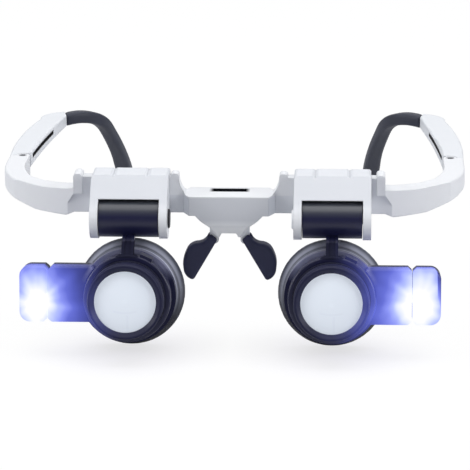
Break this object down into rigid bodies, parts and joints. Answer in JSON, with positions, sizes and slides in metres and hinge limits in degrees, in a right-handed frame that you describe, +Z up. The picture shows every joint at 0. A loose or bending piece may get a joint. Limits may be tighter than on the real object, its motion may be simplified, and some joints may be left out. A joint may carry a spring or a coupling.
{
  "type": "headband magnifier",
  "caption": "Spectacle-style head-worn magnifier with two sliding flip-up loupes, each with a side battery lamp, folding temples with rubber tips and swinging nose pads.",
  "frame": {"origin": "on the table, under the middle of the bounding box", "axes": "+X to the right as the lenses are seen from the front, +Y from the lenses to the wearer, +Z up"},
  "size_m": [0.1586, 0.1976, 0.0572],
  "materials": {
    "frame_white": "smooth white moulded plastic",
    "clamp_white": "smooth white moulded plastic",
    "screw_steel": "plated steel",
    "tip_rubber": "matt near-black rubber",
    "spring_steel": "bright spring steel",
    "pin_black": "black moulded plastic",
    "holder_black": "half-gloss black plastic",
    "barrel_black": "fine matt black plastic",
    "cell_black": "half-gloss black plastic",
    "lens_glass": "clear optical glass",
    "eyecup_rubber": "smooth black rubber",
    "lamp_black": "half-gloss black plastic",
    "led_epoxy": "clear epoxy, lit cold white",
    "reflector_chrome": "bright plated",
    "cell_steel": "nickel-plated steel can",
    "switch_black": "matt black plastic",
    "sleeve_black": "matt black plastic",
    "pad_rubber": "soft matt black rubber"
  },
  "bodies": {
    "frame": {"front_frame": "frame_white", "hinge_screws": "screw_steel", "nose_pad_pins": "screw_steel"},
    "temple_left": {"temple_arm_left": "frame_white", "strap_sleeve_left": "sleeve_black", "temple_tip_left": "tip_rubber"},
    "slider_left": {"clamp_left": "clamp_white", "clamp_spring_left": "spring_steel", "flip_pin_left": "pin_black"},
    "loupe_left": {"loupe_holder_left": "holder_black", "barrel_left": "barrel_black", "lens_cell_left": "cell_black", "front_lens_left": "lens_glass", "lens_ring_left": "barrel_black", "eye_lens_left": "lens_glass", "eyecup_left": "eyecup_rubber"},
    "lamp_left": {"lamp_case_left": "lamp_black", "button_cells_left": "cell_steel", "cell_contact_left": "spring_steel"},
    "head_left": {"lamp_head_left": "lamp_black", "led_left": "led_epoxy", "led_reflector_left": "reflector_chrome"},
    "cover_left": {"battery_cover_left": "lamp_black"},
    "knob_left": {"switch_left": "switch_black"},
    "pad_left": {"nose_pad_left": "pad_rubber"},
    "temple_right": {"temple_arm_right": "frame_white", "strap_sleeve_right": "sleeve_black", "temple_tip_right": "tip_rubber"},
    "slider_right": {"clamp_right": "clamp_white", "clamp_spring_right": "spring_steel", "flip_pin_right": "pin_black"},
    "loupe_right": {"loupe_holder_right": "holder_black", "barrel_right": "barrel_black", "lens_cell_right": "cell_black", "front_lens_right": "lens_glass", "lens_ring_right": "barrel_black", "eye_lens_right": "lens_glass", "eyecup_right": "eyecup_rubber"},
    "lamp_right": {"lamp_case_right": "lamp_black", "button_cells_right": "cell_steel", "cell_contact_right": "spring_steel"},
    "head_right": {"lamp_head_right": "lamp_black", "led_right": "led_epoxy", "led_reflector_right": "reflector_chrome"},
    "cover_right": {"battery_cover_right": "lamp_black"},
    "knob_right": {"switch_right": "switch_black"},
    "pad_right": {"nose_pad_right": "pad_rubber"}
  },
  "joints": [
    {"name": "temple_fold_left", "type": "hinge", "parent": "frame", "child": "temple_left", "pos_m": [-0.0744, -0.01737, 0.04725], "axis": [0, 0, -1], "range_deg": [0, 90]},
    {"name": "clamp_slide_left", "type": "slide", "parent": "frame", "child": "slider_left", "axis": [-1, 0, 0], "range_m": [-0.00035, 0.00335]},
    {"name": "loupe_flip_left", "type": "hinge", "parent": "slider_left", "child": "loupe_left", "pos_m": [-0.03235, -0.07417, 0.04365], "axis": [-1, 0, 0], "range_deg": [-6, 95]},
    {"name": "lamp_swivel_left", "type": "hinge", "parent": "loupe_left", "child": "lamp_left", "pos_m": [-0.03235, -0.08036, 0.01922], "axis": [0, 0.9871, -0.1599], "range_deg": [-60, 15]},
    {"name": "lamp_tilt_left", "type": "hinge", "parent": "lamp_left", "child": "head_left", "pos_m": [-0.05835, -0.08153, 0.02042], "axis": [1, 0, 0], "range_deg": [-25, 25]},
    {"name": "cover_slide_left", "type": "slide", "parent": "lamp_left", "child": "cover_left", "axis": [0, -0.1599, -0.9871], "range_m": [0, 0.008]},
    {"name": "switch_slide_left", "type": "slide", "parent": "lamp_left", "child": "knob_left", "axis": [-1, 0, 0], "range_m": [0, 0.002]},
    {"name": "nose_pad_pivot_left", "type": "hinge", "parent": "frame", "child": "pad_left", "pos_m": [-0.0051, -0.06317, 0.03365], "axis": [0, 1, 0], "range_deg": [-10, 10]},
    {"name": "temple_fold_right", "type": "hinge", "parent": "frame", "child": "temple_right", "pos_m": [0.0744, -0.01737, 0.04725], "axis": [0, 0, 1], "range_deg": [0, 75]},
    {"name": "clamp_slide_right", "type": "slide", "parent": "frame", "child": "slider_right", "axis": [1, 0, 0], "range_m": [-0.00205, 0.00165]},
    {"name": "loupe_flip_right", "type": "hinge", "parent": "slider_right", "child": "loupe_right", "pos_m": [0.03405, -0.07417, 0.04365], "axis": [-1, 0, 0], "range_deg": [-6, 95]},
    {"name": "lamp_swivel_right", "type": "hinge", "parent": "loupe_right", "child": "lamp_right", "pos_m": [0.03405, -0.08036, 0.01922], "axis": [0, -0.9871, 0.1599], "range_deg": [-60, 15]},
    {"name": "lamp_tilt_right", "type": "hinge", "parent": "lamp_right", "child": "head_right", "pos_m": [0.06005, -0.08153, 0.02042], "axis": [1, 0, 0], "range_deg": [-25, 25]},
    {"name": "cover_slide_right", "type": "slide", "parent": "lamp_right", "child": "cover_right", "axis": [0, -0.1599, -0.9871], "range_m": [0, 0.008]},
    {"name": "switch_slide_right", "type": "slide", "parent": "lamp_right", "child": "knob_right", "axis": [1, 0, 0], "range_m": [0, 0.002]},
    {"name": "nose_pad_pivot_right", "type": "hinge", "parent": "frame", "child": "pad_right", "pos_m": [0.0051, -0.06317, 0.03365], "axis": [0, 1, 0], "range_deg": [-10, 10]}
  ]
}
